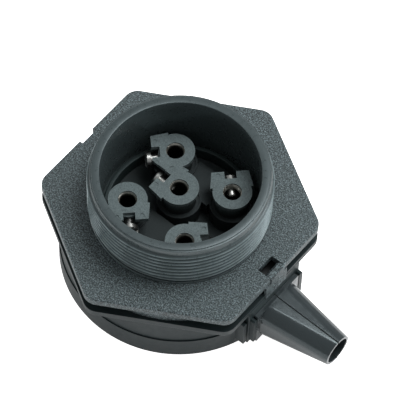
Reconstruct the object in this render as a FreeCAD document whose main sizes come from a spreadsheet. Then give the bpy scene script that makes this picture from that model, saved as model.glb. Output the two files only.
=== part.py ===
"""Trailer wiring connector: threaded hexagonal housing, five clamp terminals and a side cable nozzle.

The origin is on the collar's axis, at the top face of the upper hexagonal flange. +Z points out of
the collar's mouth and +X along the cable nozzle. All sizes are in millimetres and degrees.
"""

import FreeCAD
import Part
import Sketcher
import math
import os
from collections import namedtuple
from FreeCAD import Vector

# Driving sizes: alias, value and meaning. Depths are measured down from the flange's top face.
SIZES = (
    ("hex_flats", 80.0, "both hexagonal plates, across flats"),
    ("hex_corner_radius", 5.0, "rounding of the hexagons' corners"),
    ("edge_radius", 0.5, "rounding of moulded edges"),
    ("flange_thickness", 3.0, "upper hexagonal plate"),
    ("collar_height", 19.7, "collar above the flange"),
    ("bore_radius", 25.9, "collar's bore"),
    ("collar_wall", 3.0, "bore to thread root"),
    ("thread_depth", 1.1, "thread root to crest"),
    ("thread_pitch", 2.0, "metric pitch"),
    ("thread_turns", 6.6, "turns of thread"),
    ("thread_start", 2.0, "foot of the first thread ridge above the flange"),
    ("ridge_foot", 1.6, "thread ridge's width at its root"),
    ("ridge_crest", 0.3, "thread ridge's width at its crest"),
    ("rim_step", 0.35, "height and width of the step round the rim"),
    ("relief_height", 0.9, "plain foot below the thread relief"),
    ("skirt_inset", 0.9, "housing walls' setback from the hexagon's flats"),
    ("skirt_wall", 2.1, "upper housing's skirt"),
    ("joint_gap", 4.5, "space between the two hexagonal plates"),
    ("window_inset", 5.2, "latch window's inner edge from the hexagon's flat"),
    ("window_low", 2.7, "latch window's reach towards -Y"),
    ("window_high", 4.1, "latch window's reach towards +Y"),
    ("hook_inset", 3.0, "hook's nose from the hexagon's flat"),
    ("hook_thickness", 1.8, "hook's height"),
    ("hook_drop", 0.15, "hook's top below the flange's top"),
    ("hook_slope", 0.8, "bevel on the hook's nose"),
    ("key_half_width", 3.2, "half width of the key notch"),
    ("key_depth", 1.3, "key notch's depth into the flange's edge"),
    ("plate_thickness", 2.8, "lower hexagonal plate"),
    ("base_depth", 30.3, "base of the housing"),
    ("step_depth", 21.0, "step round the wire chamber's wall"),
    ("step_width", 0.4, "step's width"),
    ("chamber_wall", 2.4, "wire chamber's wall"),
    ("rabbet_width", 2.1, "ledge that the bottom cover seats on"),
    ("cover_thickness", 2.0, "bottom cover's disc"),
    ("seal_thickness", 0.8, "both flat gaskets"),
    ("cup_gap", 0.9, "bore to carrier cup"),
    ("cup_wall", 1.5, "carrier cup's wall, floor and flange"),
    ("cup_depth", 4.3, "carrier cup's top edge"),
    ("cup_floor_depth", 11.5, "carrier cup's inner floor"),
    ("cup_flange_width", 4.0, "carrier cup's flange beyond its wall"),
    ("contact_circle", 16.9, "outer terminals' circle, as a radius"),
    ("centre_offset", 3.0, "middle terminal's distance from the axis"),
    ("block_base", 2.5, "terminal block's base disc"),
    ("platform_depth", 3.0, "raised platforms of the terminal block"),
    ("platform_half_width", 6.2, "platforms' half width"),
    ("platform_reach", 17.8, "platforms' reach from the axis"),
    ("pot_radius", 7.3, "round foot of each tower"),
    ("pot_depth", 2.4, "foot's rim"),
    ("pot_lip", 0.6, "rim's wall and height"),
    ("column_radius", 5.6, "tower's column"),
    ("plate_top", 4.85, "terminal plates' top above the flange"),
    ("plate_height", 1.6, "terminal plates' thickness"),
    ("ring_radius", 6.4, "terminal plate's round part"),
    ("tab_shoulder", 1.8, "start of the plate's tab"),
    ("tab_root_half", 7.0, "tab's half width at its shoulders"),
    ("tab_reach", 7.7, "tab's end from the sleeve's axis"),
    ("tab_end_half", 6.1, "tab's half width at its end"),
    ("slot_start", 5.05, "slot's closed end from the sleeve's axis"),
    ("slot_half", 1.95, "slot's half width"),
    ("dimple_radius", 0.8, "round mark on each prong"),
    ("dimple_depth", 0.25, "mark's depth"),
    ("driver_edge", 4.3, "edge that clears the driver for the middle screw"),
    ("sleeve_bore", 2.6, "contact sleeve's wire bore, as a radius"),
    ("neck_wall", 0.45, "sleeve's wall inside the plate"),
    ("neck_recess", 0.45, "sleeve's top below the plate's top"),
    ("barrel_wall", 1.85, "sleeve's wall below the plate"),
    ("bore_floor_depth", 7.5, "floor of the wire bore"),
    ("tail_radius", 1.95, "solder tail"),
    ("tail_length", 5.5, "solder tail below the cup's inner floor"),
    ("tail_cup_radius", 1.2, "solder cup"),
    ("screw_level", 0.4, "clamp screws' axis above the flange"),
    ("shank_radius", 1.7, "clamp screw's shank"),
    ("shank_length", 5.6, "clamp screw's shank"),
    ("head_radius", 2.75, "clamp screw's head"),
    ("head_length", 1.8, "clamp screw's head"),
    ("driver_slot_width", 0.8, "driver slot"),
    ("driver_slot_depth", 0.9, "driver slot"),
    ("head_out", 8.0, "underside of a backed-out head from the sleeve's axis"),
    ("head_in", 6.0, "underside of a tightened head from the sleeve's axis"),
    ("guard_radius", 1.5, "wire guard"),
    ("guard_thickness", 0.4, "wire guard"),
    ("nozzle_depth", 22.0, "nozzle's root centre"),
    ("nozzle_rise", 1.7, "rise of the nozzle's tip over its root"),
    ("nozzle_length", 26.4, "nozzle's tip beyond the boss's face"),
    ("root_width", 18.0, "spout's root"),
    ("root_height", 15.8, "spout's root"),
    ("root_corner", 5.0, "rounding of the spout's root"),
    ("root_wall", 1.5, "spout's wall at its root"),
    ("tip_radius", 5.55, "spout's tip"),
    ("tip_wall", 0.9, "spout's wall at its tip"),
    ("tip_land", 4.0, "straight stretch of the spout's bore at its tip"),
    ("collar_plate_thickness", 1.5, "nozzle's plates and the rail's web"),
    ("outer_plate_half", 10.5, "nozzle's outer plate, half width"),
    ("outer_plate_top_depth", 13.8, "top of the nozzle's outer plate"),
    ("outer_plate_foot_depth", 29.5, "foot of the nozzle's outer plate"),
    ("neck_half", 8.5, "nozzle's neck, half width"),
    ("neck_top_depth", 14.6, "top of the nozzle's neck"),
    ("neck_foot_depth", 28.6, "foot of the nozzle's neck"),
    ("inner_plate_half", 10.0, "nozzle's inner plate, half width"),
    ("inner_plate_foot_depth", 27.2, "foot of the nozzle's inner plate"),
    ("boss_stand", 0.1, "boss's face beyond the hexagon's flat"),
    ("boss_margin", 2.7, "nozzle boss's half width beyond the outer plate's"),
    ("guide_width", 1.7, "guide beside the nozzle's plate"),
    ("rib_offset", 4.0, "outer rib's middle beyond the outer plate's edge"),
    ("rib_width", 1.5, "outer rib beside the nozzle"),
    ("rib_top_depth", 14.4, "outer rib's top"),
    ("rib_foot_depth", 27.0, "outer rib's foot"),
    ("arm_thickness", 1.0, "latch arm"),
    ("arm_low", 5.0, "latch arm's reach towards -Y"),
    ("arm_high", 5.4, "latch arm's reach towards +Y"),
    ("arm_stand", 0.35, "latch arm's outer face beyond the hexagon's flat"),
    ("pivot_radius", 0.65, "latch arm's rounded root"),
    ("pivot_drop", 1.9, "latch arm's root below the lower plate's top"),
    ("lip_drop", 0.2, "top of the latch arm's socket below the root's middle"),
    ("running_fit", 0.05, "radial clearance of turning and sliding fits"),
    ("seat_fit", 0.1, "clearance of parts that seat in each other"),
    ("loose_fit", 0.2, "clearance of parts that drop in"),
)

# Terminal: number, circle it stands on, bearing of its sleeve, bearing of its screw, head's place.
Terminal = namedtuple("Terminal", "number circle bearing facing head")
TERMINALS = (
    Terminal(1, "Sizes.contact_circle", 45, 135, "Sizes.head_in"),
    Terminal(2, "Sizes.contact_circle", 135, 225, "Sizes.head_out"),
    Terminal(3, "Sizes.contact_circle", 225, 315, "Sizes.head_out"),
    Terminal(4, "Sizes.contact_circle", 315, 45, "Sizes.head_out"),
    Terminal(5, "Sizes.centre_offset", 135, 180, "Sizes.head_out"),
)

FULL_TURN = 360
OVERSHOOT = "1"  # how far a cutting or joining shape passes its neighbour's face

# Sizes worked out from the driving ones.
CIRCUMRADIUS = "Sizes.hex_flats / sqrt(3)"
FLAT = "Sizes.hex_flats / 2"
THREAD_ROOT = "(Sizes.bore_radius + Sizes.collar_wall)"
THREAD_CREST = f"({THREAD_ROOT} + Sizes.thread_depth)"
SKIRT_RADIUS = "(Sizes.hex_flats / 2 - Sizes.skirt_inset)"
JOINT_DEPTH = "(Sizes.flange_thickness + Sizes.joint_gap)"
CUP_RADIUS = "(Sizes.bore_radius - Sizes.cup_gap)"
CUP_FLANGE_RADIUS = f"({CUP_RADIUS} + Sizes.cup_flange_width)"
BLOCK_RADIUS = f"({CUP_RADIUS} - Sizes.cup_wall - Sizes.loose_fit)"
BARREL_RADIUS = "(Sizes.sleeve_bore + Sizes.barrel_wall)"
NECK_RADIUS = "(Sizes.sleeve_bore + Sizes.neck_wall)"
COVER_DEPTH = "(Sizes.base_depth - Sizes.cover_thickness)"
SEAL_DEPTH = f"({COVER_DEPTH} - Sizes.seal_thickness)"
CHAMBER_RADIUS = f"({SKIRT_RADIUS} - Sizes.chamber_wall)"
RABBET_RADIUS = f"({SKIRT_RADIUS} - Sizes.chamber_wall / 2)"
LEDGE_RADIUS = f"({RABBET_RADIUS} - Sizes.rabbet_width)"
RAIL_FACE = f"({FLAT} + Sizes.boss_stand)"
WEB_BACK = f"({RAIL_FACE} - Sizes.collar_plate_thickness)"
TIP_REACH = f"({RAIL_FACE} + Sizes.nozzle_length)"
GUIDE_INNER = "(Sizes.outer_plate_half + Sizes.loose_fit + Sizes.seat_fit)"
BOSS_HALF = "(Sizes.outer_plate_half + Sizes.boss_margin)"
RIB_CENTRE = "(Sizes.outer_plate_half + Sizes.rib_offset)"
PLATE_UNDERSIDE = "(Sizes.plate_top - Sizes.plate_height)"
TIP_LEVEL = "-Sizes.nozzle_depth + Sizes.nozzle_rise"
ARM_OUTER = f"({FLAT} + Sizes.arm_stand)"
ARM_INNER = f"({ARM_OUTER} - Sizes.arm_thickness)"
ARM_MIDDLE = f"({ARM_OUTER} - Sizes.arm_thickness / 2)"
PIVOT_DEPTH = f"({JOINT_DEPTH} + Sizes.pivot_drop)"
WINDOW_REACH = f"({FLAT} - Sizes.window_inset)"
HOOK_REACH = f"({FLAT} - Sizes.hook_inset)"


def make_sheet(document):
    """Spreadsheet that holds the driving sizes."""
    sheet = document.addObject("Spreadsheet::Sheet", "Sizes")
    for row, (alias, number, meaning) in enumerate(SIZES, start=1):
        sheet.set(f"A{row}", alias)
        sheet.set(f"B{row}", str(number))
        sheet.setAlias(f"B{row}", alias)
        sheet.set(f"C{row}", meaning)
    document.recompute()
    return sheet


def new_body(document, label):
    """Body for one sub-part; its label names the part's file."""
    body = document.addObject("PartDesign::Body", label)
    body.Label = label
    return body


def new_sketch(body, plane, level="0", across="0", up="0", turn=0):
    """Sketch parallel to one of the body's planes, moved and turned within that plane."""
    sketch = body.newObject("Sketcher::SketchObject", "Sketch")
    support = next(item for item in body.Origin.OriginFeatures if item.Role == plane)
    sketch.AttachmentSupport = [(support, "")]
    sketch.MapMode = "FlatFace"
    sketch.AttachmentOffset = FreeCAD.Placement(Vector(), FreeCAD.Rotation(Vector(0, 0, 1), turn))
    sketch.setExpression("AttachmentOffset.Base.x", across)
    sketch.setExpression("AttachmentOffset.Base.y", up)
    sketch.setExpression("AttachmentOffset.Base.z", level)
    return sketch


def drive(sketch, constraint, size):
    """Add a constraint and bind its value to an expression."""
    number = sketch.addConstraint(constraint)
    sketch.setExpression(f"Constraints[{number}]", size)


def place_point(sketch, edge, end, across, up):
    """Fix a point of an edge by its distances from the sketch's origin."""
    point = sketch.getPoint(edge, end)
    drive(sketch, Sketcher.Constraint("DistanceX", -1, 1, edge, end, point.x), across)
    drive(sketch, Sketcher.Constraint("DistanceY", -1, 1, edge, end, point.y), up)


def add_outline(sketch, corners):
    """Closed outline of straight edges through corners, each a pair of expressions."""
    count = len(corners)
    rough = [Vector(math.cos(math.tau * n / count), math.sin(math.tau * n / count)) for n in range(count)]
    first = sketch.GeometryCount
    for number in range(count):
        sketch.addGeometry(Part.LineSegment(rough[number], rough[(number + 1) % count]))
    for number in range(count):
        before = first + (number - 1) % count
        sketch.addConstraint(Sketcher.Constraint("Coincident", before, 2, first + number, 1))
    for number, (across, up) in enumerate(corners):
        place_point(sketch, first + number, 1, across, up)


def add_box(sketch, low, high):
    """Rectangle between two opposite corners, each a pair of expressions."""
    add_outline(sketch, (low, (high[0], low[1]), high, (low[0], high[1])))


def add_circle(sketch, radius, across="0", up="0"):
    """Circle with its centre placed from the sketch's origin."""
    number = sketch.addGeometry(Part.Circle(Vector(), Vector(0, 0, 1), 1))
    place_point(sketch, number, 3, across, up)
    drive(sketch, Sketcher.Constraint("Radius", number, 1.0), radius)


def add_hexagon(sketch):
    """Hexagon with two flats facing +X and -X."""
    corners = []
    for number in range(6):
        bearing = 30 + 60 * number
        corners.append((f"{CIRCUMRADIUS} * cos({bearing})", f"{CIRCUMRADIUS} * sin({bearing})"))
    add_outline(sketch, corners)


def add_rounded_box(sketch, half_width, half_height, corner, up="0", middle="0"):
    """Box with round corners about the point (middle, up); sizes are expressions."""
    sides = ((1, -1), (1, 1), (-1, 1), (-1, -1))
    first = sketch.GeometryCount
    for number, (right, top) in enumerate(sides):
        start = math.radians(90 * (number - 1))
        circle = Part.Circle(Vector(2 * right, 2 * top), Vector(0, 0, 1), 1)
        sketch.addGeometry(Part.ArcOfCircle(circle, start, start + math.pi / 2))
    for number in range(4):
        ends = [sketch.getPoint(first + number, 2), sketch.getPoint(first + (number + 1) % 4, 1)]
        line = sketch.addGeometry(Part.LineSegment(*ends))
        sketch.addConstraint(Sketcher.Constraint("Tangent", first + number, 2, line, 1))
        sketch.addConstraint(Sketcher.Constraint("Tangent", line, 2, first + (number + 1) % 4, 1))
        if number < 3:  # the fourth side's direction follows from the other three
            sketch.addConstraint(Sketcher.Constraint("Horizontal" if number % 2 else "Vertical", line))
    for number, (right, top) in enumerate(sides):
        across = f"{middle} + {right} * ({half_width} - {corner})"
        place_point(sketch, first + number, 3, across, f"{up} + {top} * ({half_height} - {corner})")
    drive(sketch, Sketcher.Constraint("Radius", first, 1.0), corner)


def checked(feature):
    """Recompute a feature and refuse one that failed."""
    feature.Document.recompute()
    if "Invalid" in feature.State or "Error" in feature.State or feature.Shape.isNull():
        raise RuntimeError(f"{feature.Label} failed: {feature.State}")
    return feature


def add_pad(body, sketch, length, down=False):
    """Pad a sketch along its normal, or against it."""
    pad = body.newObject("PartDesign::Pad", "Pad")
    pad.Profile = sketch
    pad.Reversed = down
    pad.setExpression("Length", length)
    return checked(pad)


def cut_checked(body, feature):
    """Recompute a cutting feature and make sure that it removed material."""
    before = feature.BaseFeature.Shape.Volume
    checked(feature)
    if feature.Shape.Volume > before - 1e-3:
        raise RuntimeError(f"{feature.Label} in {body.Label} cuts nothing")
    return feature


def add_pocket(body, sketch, depth, along=False):
    """Pocket a sketch against its normal, or along it."""
    pocket = body.newObject("PartDesign::Pocket", "Pocket")
    pocket.Profile = sketch
    pocket.Reversed = along
    pocket.setExpression("Length", depth)
    return cut_checked(body, pocket)


def add_revolution(body, corners, axis="V_Axis"):
    """Revolve an outline of (radius, height) corners in the XZ plane about an axis of the sketch."""
    sketch = new_sketch(body, "XZ_Plane")
    add_outline(sketch, corners)
    revolution = body.newObject("PartDesign::Revolution", "Revolution")
    revolution.Profile = sketch
    revolution.ReferenceAxis = (sketch, [axis])
    revolution.Angle = FULL_TURN
    return checked(revolution)


def round_edges(body, base, radius, chosen):
    """Fillet the edges of the base feature that the test chooses."""
    names = [f"Edge{number}" for number, edge in enumerate(base.Shape.Edges, start=1) if chosen(edge)]
    if not names:
        raise RuntimeError(f"no edge to round in {body.Label}")
    fillet = body.newObject("PartDesign::Fillet", "Fillet")
    fillet.Base = (base, names)
    fillet.setExpression("Radius", radius)
    return checked(fillet)


def is_upright(edge):
    """True for a straight edge parallel to Z."""
    return isinstance(edge.Curve, Part.Line) and abs(edge.Curve.Direction.z) > 0.999


def lies_at(edge, height):
    """True for an edge that lies wholly at one height."""
    box = edge.BoundBox
    return abs(box.ZMin - height) < 1e-4 and abs(box.ZMax - height) < 1e-4


def terminal_place(terminal):
    """Expressions for a terminal's place across and up the XY plane."""
    across = f"{terminal.circle} * cos({terminal.bearing})"
    up = f"{terminal.circle} * sin({terminal.bearing})"
    return across, up


def add_terminal_circles(body, level, radius):
    """Sketch with one circle at each terminal."""
    sketch = new_sketch(body, "XY_Plane", level)
    for terminal in TERMINALS:
        add_circle(sketch, radius, *terminal_place(terminal))
    return sketch


def add_thread(body):
    """One helical ridge round the collar."""
    sketch = new_sketch(body, "XZ_Plane")
    middle = "(Sizes.thread_start + Sizes.ridge_foot / 2)"
    sunk = f"{THREAD_ROOT} - Sizes.thread_depth / 2"
    add_outline(
        sketch,
        (
            (sunk, f"{middle} - Sizes.ridge_foot / 2"),
            (THREAD_ROOT, f"{middle} - Sizes.ridge_foot / 2"),
            (THREAD_CREST, f"{middle} - Sizes.ridge_crest / 2"),
            (THREAD_CREST, f"{middle} + Sizes.ridge_crest / 2"),
            (THREAD_ROOT, f"{middle} + Sizes.ridge_foot / 2"),
            (sunk, f"{middle} + Sizes.ridge_foot / 2"),
        ),
    )
    helix = body.newObject("PartDesign::AdditiveHelix", "Thread")
    helix.Profile = sketch
    helix.ReferenceAxis = (sketch, ["V_Axis"])
    helix.setExpression("Pitch", "Sizes.thread_pitch")
    helix.setExpression("Height", "Sizes.thread_pitch * Sizes.thread_turns")
    return checked(helix)


def make_upper_housing(document, sheet):
    """Hexagonal flange, threaded collar, skirt and the rib that holds the carrier cup down."""
    body = new_body(document, "upper_housing")
    outline = new_sketch(body, "XY_Plane")
    add_hexagon(outline)
    add_circle(outline, "Sizes.bore_radius")
    flange = add_pad(body, outline, "Sizes.flange_thickness", down=True)
    flange = round_edges(body, flange, "Sizes.hex_corner_radius", is_upright)
    round_edges(body, flange, "Sizes.edge_radius", lambda edge: is_outer_at(edge, 0, sheet))
    rim = f"({THREAD_ROOT} - Sizes.rim_step)"
    band = f"({THREAD_ROOT} + Sizes.rim_step / 3)"
    overlap = "-Sizes.flange_thickness / 2"
    band_foot = "Sizes.thread_start + Sizes.thread_pitch * Sizes.thread_turns + Sizes.ridge_foot"
    add_revolution(
        body,
        (
            ("Sizes.bore_radius", overlap),
            (f"{THREAD_CREST} - Sizes.rim_step", overlap),
            (f"{THREAD_CREST} - Sizes.rim_step", "Sizes.relief_height"),
            (THREAD_ROOT, "Sizes.relief_height"),
            (THREAD_ROOT, band_foot),
            (band, band_foot),
            (band, "Sizes.collar_height - Sizes.rim_step"),
            (rim, "Sizes.collar_height - Sizes.rim_step"),
            (rim, "Sizes.collar_height"),
            ("Sizes.bore_radius + Sizes.edge_radius / 2", "Sizes.collar_height"),
            ("Sizes.bore_radius", "Sizes.collar_height - Sizes.edge_radius / 2"),
        ),
    )
    skirt = new_sketch(body, "XY_Plane", overlap)
    add_circle(skirt, SKIRT_RADIUS)
    add_circle(skirt, f"{SKIRT_RADIUS} - Sizes.skirt_wall")
    add_pad(body, skirt, f"{JOINT_DEPTH} - Sizes.flange_thickness / 2", down=True)
    rib = new_sketch(body, "XY_Plane", overlap)
    add_circle(rib, "Sizes.bore_radius")
    add_circle(rib, f"{THREAD_ROOT} - Sizes.rim_step")
    rib_depth = f"{JOINT_DEPTH} - Sizes.cup_wall"
    add_pad(body, rib, f"{rib_depth} - Sizes.flange_thickness / 2", down=True)
    cut_latch_window(body)
    cut_key_notch(body)
    add_thread(body)
    return body


def is_outer_at(edge, height, sheet):
    """True for an edge at one height, outside the collar's bore."""
    return lies_at(edge, height) and edge.CenterOfMass.Length > sheet.bore_radius


def cut_latch_window(body):
    """Window in the flange, the shallower seat that the hook rests in and the arm's passage."""
    window = new_sketch(body, "XY_Plane")
    outside = f"{FLAT} + {OVERSHOOT}"
    hole_end = f"{HOOK_REACH} + Sizes.loose_fit"
    add_box(window, (WINDOW_REACH, "-Sizes.window_low"), (hole_end, "Sizes.window_high"))
    add_pocket(body, window, "Sizes.flange_thickness")
    seat = new_sketch(body, "XY_Plane")
    add_box(seat, (WINDOW_REACH, "-Sizes.window_low"), (outside, "Sizes.window_high"))
    add_pocket(body, seat, "Sizes.hook_thickness + Sizes.hook_drop + Sizes.seat_fit")
    passage = new_sketch(body, "XY_Plane")
    near = (f"{ARM_INNER} - Sizes.seat_fit", "-Sizes.window_low")
    add_box(passage, near, (outside, "Sizes.window_high"))
    add_pocket(body, passage, "Sizes.flange_thickness")


def cut_key_notch(body):
    """Notch in the flange's edge opposite the nozzle."""
    notch = new_sketch(body, "XY_Plane")
    low = (f"-{FLAT} - {OVERSHOOT}", "-Sizes.key_half_width")
    add_box(notch, low, (f"-{FLAT} + Sizes.key_depth", "Sizes.key_half_width"))
    add_pocket(body, notch, "Sizes.flange_thickness")


def make_lower_housing(document, sheet):
    """Lower hexagonal plate, wire chamber's wall, nozzle boss and guides, and the latch's socket."""
    body = new_body(document, "lower_housing")
    outline = new_sketch(body, "XY_Plane", f"-{JOINT_DEPTH}")
    add_hexagon(outline)
    add_circle(outline, f"{CUP_RADIUS} + Sizes.loose_fit")
    plate = add_pad(body, outline, "Sizes.plate_thickness", down=True)
    plate = round_edges(body, plate, "Sizes.hex_corner_radius", is_upright)
    foot = -(sheet.flange_thickness + sheet.joint_gap + sheet.plate_thickness)
    round_edges(body, plate, "Sizes.edge_radius", lambda edge: is_outer_at(edge, foot, sheet))
    wall_top = f"-({JOINT_DEPTH} + Sizes.plate_thickness / 2)"
    base = "-Sizes.base_depth"
    wide = f"({SKIRT_RADIUS} + Sizes.step_width)"
    wall = add_revolution(
        body,
        (
            (CHAMBER_RADIUS, wall_top),
            (CHAMBER_RADIUS, f"-({SEAL_DEPTH} - Sizes.rabbet_width)"),
            (LEDGE_RADIUS, f"-({SEAL_DEPTH} - Sizes.rabbet_width / 2)"),
            (LEDGE_RADIUS, f"-{SEAL_DEPTH}"),
            (RABBET_RADIUS, f"-{SEAL_DEPTH}"),
            (RABBET_RADIUS, base),
            (wide, base),
            (wide, "-Sizes.step_depth"),
            (SKIRT_RADIUS, "-Sizes.step_depth"),
            (SKIRT_RADIUS, wall_top),
        ),
    )
    round_edges(body, wall, "Sizes.edge_radius", lambda edge: is_wall_foot(edge, sheet))
    add_nozzle_boss(body)
    cut_nozzle_slot(body)
    add_nozzle_guides(body)
    cut_cover_seat(body)
    add_latch_socket(body)
    return body


def is_wall_foot(edge, sheet):
    """True for the outer edge at the foot of the wire chamber's wall."""
    skirt = sheet.hex_flats / 2 - sheet.skirt_inset
    return lies_at(edge, -sheet.base_depth) and edge.BoundBox.XMax > skirt


def cut_cover_seat(body):
    """Carry the cover's round seat through the boss."""
    seat = new_sketch(body, "XY_Plane", f"-{SEAL_DEPTH}")
    add_circle(seat, RABBET_RADIUS)
    add_pocket(body, seat, f"Sizes.base_depth - {SEAL_DEPTH} + {OVERSHOOT}")


def add_nozzle_boss(body):
    """Flat boss on the wall that the nozzle slides into."""
    boss = new_sketch(body, "XY_Plane", f"-({JOINT_DEPTH} + Sizes.plate_thickness / 2)")
    add_box(
        boss,
        (f"{CHAMBER_RADIUS} - Sizes.chamber_wall / 2", f"-{BOSS_HALF}"),
        (RAIL_FACE, f"{GUIDE_INNER} + Sizes.guide_width"),
    )
    depth = f"Sizes.base_depth - {JOINT_DEPTH} - Sizes.plate_thickness / 2 - Sizes.cover_thickness"
    add_pad(body, boss, depth, down=True)


def cut_nozzle_slot(body):
    """Slot for the nozzle's neck and the wider space for its inner plate, both open at the foot."""
    inside = f"({LEDGE_RADIUS} * cos(30))"
    space = new_sketch(body, "YZ_Plane", inside)
    half = "(Sizes.inner_plate_half + Sizes.seat_fit)"
    foot = f"-Sizes.base_depth - {OVERSHOOT}"
    add_box(space, (f"-{half}", foot), (half, "-Sizes.outer_plate_top_depth + Sizes.seat_fit"))
    add_pocket(body, space, f"{WEB_BACK} - {inside}", along=True)
    slot = new_sketch(body, "YZ_Plane", f"{WEB_BACK} - {OVERSHOOT}")
    half = "(Sizes.neck_half + Sizes.seat_fit)"
    add_box(slot, (f"-{half}", foot), (half, "-Sizes.neck_top_depth + Sizes.seat_fit"))
    add_pocket(body, slot, f"Sizes.collar_plate_thickness + 2 * {OVERSHOOT}", along=True)


def add_nozzle_guides(body):
    """Upright guides at the nozzle plate's edges and a plain rib outside the one beside the latch."""
    root = f"{SKIRT_RADIUS} - Sizes.chamber_wall"
    guide_face = f"({RAIL_FACE} + Sizes.collar_plate_thickness + Sizes.loose_fit)"
    for side in (-1, 1):
        guide = new_sketch(body, "YZ_Plane", root)
        middle = f"{side} * ({GUIDE_INNER} + Sizes.guide_width / 2)"
        depths = ("Sizes.outer_plate_top_depth", "Sizes.inner_plate_foot_depth")
        add_pill(guide, middle, "Sizes.guide_width / 2", *depths)
        add_pad(body, guide, f"{guide_face} - ({root})")
    rib = new_sketch(body, "YZ_Plane", f"{root} - Sizes.chamber_wall / 2")
    add_pill(rib, f"-{RIB_CENTRE}", "Sizes.rib_width / 2", "Sizes.rib_top_depth", "Sizes.rib_foot_depth")
    add_pad(body, rib, f"{guide_face} - Sizes.collar_plate_thickness + Sizes.rib_width / 2 - ({root})")


def add_pill(sketch, across, radius, top_depth, foot_depth):
    """Upright outline with round ends; across, radius and depths are expressions."""
    half_height = f"(({foot_depth} - {top_depth}) / 2)"
    corner = f"({radius} - Sizes.running_fit / 2)"
    add_rounded_box(sketch, radius, half_height, corner, f"-({foot_depth} + {top_depth}) / 2", across)


def add_latch_socket(body):
    """Lip on the plate's edge, slot for the latch arm and round groove that its root turns in."""
    lip = new_sketch(body, "XZ_Plane", "-Sizes.arm_high")
    foot = f"-({JOINT_DEPTH} + Sizes.plate_thickness)"
    top = f"(-{PIVOT_DEPTH} - Sizes.lip_drop)"
    add_box(lip, (ARM_INNER, foot), (ARM_OUTER, top))
    add_pad(body, lip, "Sizes.arm_low + Sizes.arm_high")
    beyond = "(Sizes.arm_high + Sizes.seat_fit)"
    width = f"{beyond} + Sizes.arm_low + Sizes.seat_fit"
    slot = new_sketch(body, "XZ_Plane", f"-{beyond}")
    inside = f"{ARM_INNER} - Sizes.seat_fit"
    add_box(slot, (inside, top), (f"{ARM_OUTER} + {OVERSHOOT}", f"-{JOINT_DEPTH} + {OVERSHOOT}"))
    add_pocket(body, slot, width, along=True)
    groove = new_sketch(body, "XZ_Plane", f"-{beyond}")
    add_circle(groove, "Sizes.pivot_radius + Sizes.running_fit", ARM_MIDDLE, f"-{PIVOT_DEPTH}")
    add_pocket(body, groove, width, along=True)


def make_release_latch(document):
    """Latch arm with its round root, and its neck with the hook that rests in the flange's window."""
    body = new_body(document, "release_latch")
    top = "-Sizes.hook_drop"
    arm = new_sketch(body, "XZ_Plane", "-Sizes.arm_high")
    arm_top = "-Sizes.flange_thickness - Sizes.seat_fit"
    add_box(arm, (ARM_INNER, f"-{PIVOT_DEPTH}"), (ARM_OUTER, arm_top))
    add_pad(body, arm, "Sizes.arm_low + Sizes.arm_high")
    root = new_sketch(body, "XZ_Plane", "-Sizes.arm_high")
    add_circle(root, "Sizes.pivot_radius", ARM_MIDDLE, f"-{PIVOT_DEPTH}")
    add_pad(body, root, "Sizes.arm_low + Sizes.arm_high")
    hook = new_sketch(body, "XZ_Plane", "-Sizes.window_high + Sizes.seat_fit")
    nose = f"{HOOK_REACH} + Sizes.edge_radius"
    underside = f"{top} - Sizes.hook_thickness"
    add_outline(
        hook,
        (
            (nose, underside),
            (ARM_INNER, underside),
            (ARM_INNER, f"{arm_top} - Sizes.edge_radius"),
            (ARM_OUTER, f"{arm_top} - Sizes.edge_radius"),
            (ARM_OUTER, top),
            (f"{nose} + Sizes.hook_slope", top),
            (nose, f"{top} - Sizes.hook_slope"),
        ),
    )
    add_pad(body, hook, "Sizes.window_low + Sizes.window_high - 2 * Sizes.seat_fit")
    return body


def make_bottom_cover(document):
    """Round cover with a tongue that closes the nozzle's slot."""
    body = new_body(document, "bottom_cover")
    disc = new_sketch(body, "XY_Plane", f"-{COVER_DEPTH}")
    add_circle(disc, f"{RABBET_RADIUS} - Sizes.seat_fit")
    disc_pad = add_pad(body, disc, "Sizes.cover_thickness", down=True)
    round_edges(body, disc_pad, "Sizes.edge_radius", lambda edge: lies_at(edge, disc_pad.Shape.BoundBox.ZMin))
    tongue = new_sketch(body, "XY_Plane", "-(Sizes.neck_foot_depth + Sizes.loose_fit)")
    inside = f"{RABBET_RADIUS} - 2 * Sizes.rabbet_width"
    half = "(Sizes.neck_half - Sizes.seat_fit)"
    add_box(tongue, (inside, f"-{half}"), (RAIL_FACE, half))
    add_pad(body, tongue, "Sizes.base_depth - Sizes.neck_foot_depth - Sizes.loose_fit", down=True)
    return body


def make_cover_seal(document):
    """Flat gasket between the wire chamber and its cover."""
    body = new_body(document, "cover_seal")
    ring = new_sketch(body, "XY_Plane", f"-{SEAL_DEPTH}")
    add_circle(ring, f"{RABBET_RADIUS} - Sizes.loose_fit")
    add_circle(ring, f"{LEDGE_RADIUS} + Sizes.loose_fit")
    add_pad(body, ring, "Sizes.seal_thickness", down=True)
    return body


def make_housing_seal(document):
    """Flat gasket on the lower hexagonal plate, inside the upper housing's skirt."""
    body = new_body(document, "housing_seal")
    ring = new_sketch(body, "XY_Plane", f"-{JOINT_DEPTH}")
    add_circle(ring, f"{SKIRT_RADIUS} - Sizes.skirt_wall - Sizes.loose_fit")
    add_circle(ring, f"{CUP_FLANGE_RADIUS} + Sizes.loose_fit")
    add_pad(body, ring, "Sizes.seal_thickness")
    return body


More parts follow.
